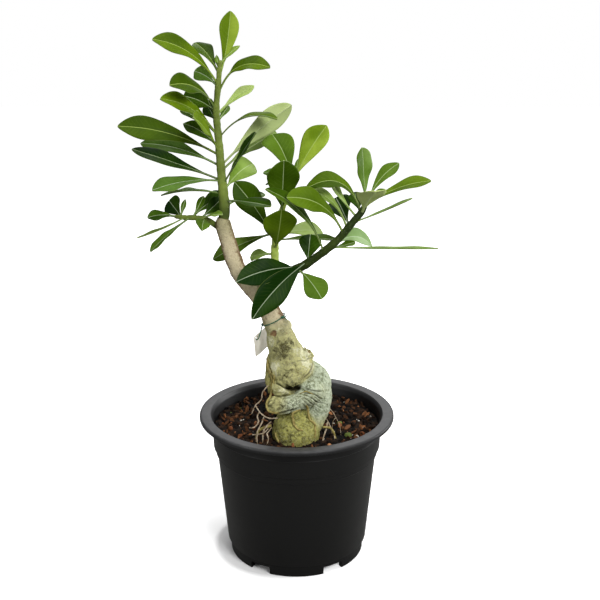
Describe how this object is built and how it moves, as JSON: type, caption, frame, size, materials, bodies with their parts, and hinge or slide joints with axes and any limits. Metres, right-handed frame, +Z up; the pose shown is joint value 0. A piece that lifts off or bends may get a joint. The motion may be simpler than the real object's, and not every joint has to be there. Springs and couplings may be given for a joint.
{
  "type": "potted desert rose",
  "caption": "Desert rose with a swollen, folded caudex, forked woody limbs, leafy green shoots and a blank tag, growing in a black round nursery pot on notched feet.",
  "frame": {"origin": "middle of the bounding box's footprint, on the surface the pot stands on; the pot's axis stands 12.6 mm from it towards +X", "axes": "+Z up, +X to the right and +Y towards the back, as seen from the side where two large dark leaves hang over the trunk"},
  "size_m": [0.2313, 0.152, 0.4157],
  "materials": {
    "pot_plastic": "black injection-moulded plastic, satin, with a paler scuffed rim",
    "potting_mix": "loose dark potting mix with clay pellets and perlite, rough",
    "caudex_bark": "smooth thin bark, olive to blue-grey low down and beige on the limbs, satin",
    "stem_green": "green shoot skin, satin",
    "leaf_green": "leathery leaf, glossy above, paler and duller below",
    "root_skin": "dry pale root skin, matte",
    "tag_card": "blank white plant label, matte",
    "tie_green": "green plastic-coated wire, satin"
  },
  "bodies": {
    "root": {"pot": "pot_plastic", "soil": "potting_mix", "caudex": "caudex_bark", "main_stem": "stem_green", "centre_stem": "stem_green", "right_stem": "stem_green", "left_twig": "stem_green", "root_left": "root_skin", "root_right": "root_skin", "plant_tag": "tag_card", "tag_wire": "tie_green", "main_leaf_01": "leaf_green", "main_leaf_02": "leaf_green", "main_leaf_03": "leaf_green", "main_leaf_04": "leaf_green", "main_leaf_05": "leaf_green", "main_leaf_06": "leaf_green", "main_leaf_07": "leaf_green", "main_leaf_08": "leaf_green", "main_leaf_09": "leaf_green", "main_leaf_10": "leaf_green", "main_leaf_11": "leaf_green", "main_leaf_12": "leaf_green", "main_leaf_13": "leaf_green", "main_leaf_14": "leaf_green", "main_leaf_15": "leaf_green", "main_leaf_16": "leaf_green", "main_leaf_17": "leaf_green", "main_leaf_18": "leaf_green", "main_leaf_19": "leaf_green", "main_leaf_20": "leaf_green", "main_leaf_21": "leaf_green", "main_leaf_22": "leaf_green", "twig_leaf_01": "leaf_green", "twig_leaf_02": "leaf_green", "twig_leaf_03": "leaf_green", "twig_leaf_04": "leaf_green", "twig_leaf_05": "leaf_green", "centre_leaf_01": "leaf_green", "centre_leaf_02": "leaf_green", "centre_leaf_03": "leaf_green", "centre_leaf_04": "leaf_green", "centre_leaf_05": "leaf_green", "centre_leaf_06": "leaf_green", "centre_leaf_07": "leaf_green", "centre_leaf_08": "leaf_green", "right_leaf_01": "leaf_green", "right_leaf_02": "leaf_green", "right_leaf_03": "leaf_green", "right_leaf_04": "leaf_green", "right_leaf_05": "leaf_green", "right_leaf_06": "leaf_green", "right_leaf_07": "leaf_green", "right_leaf_08": "leaf_green", "right_leaf_09": "leaf_green", "right_leaf_10": "leaf_green", "right_leaf_11": "leaf_green", "right_leaf_12": "leaf_green", "right_leaf_13": "leaf_green", "right_leaf_14": "leaf_green"}
  },
  "joints": []
}
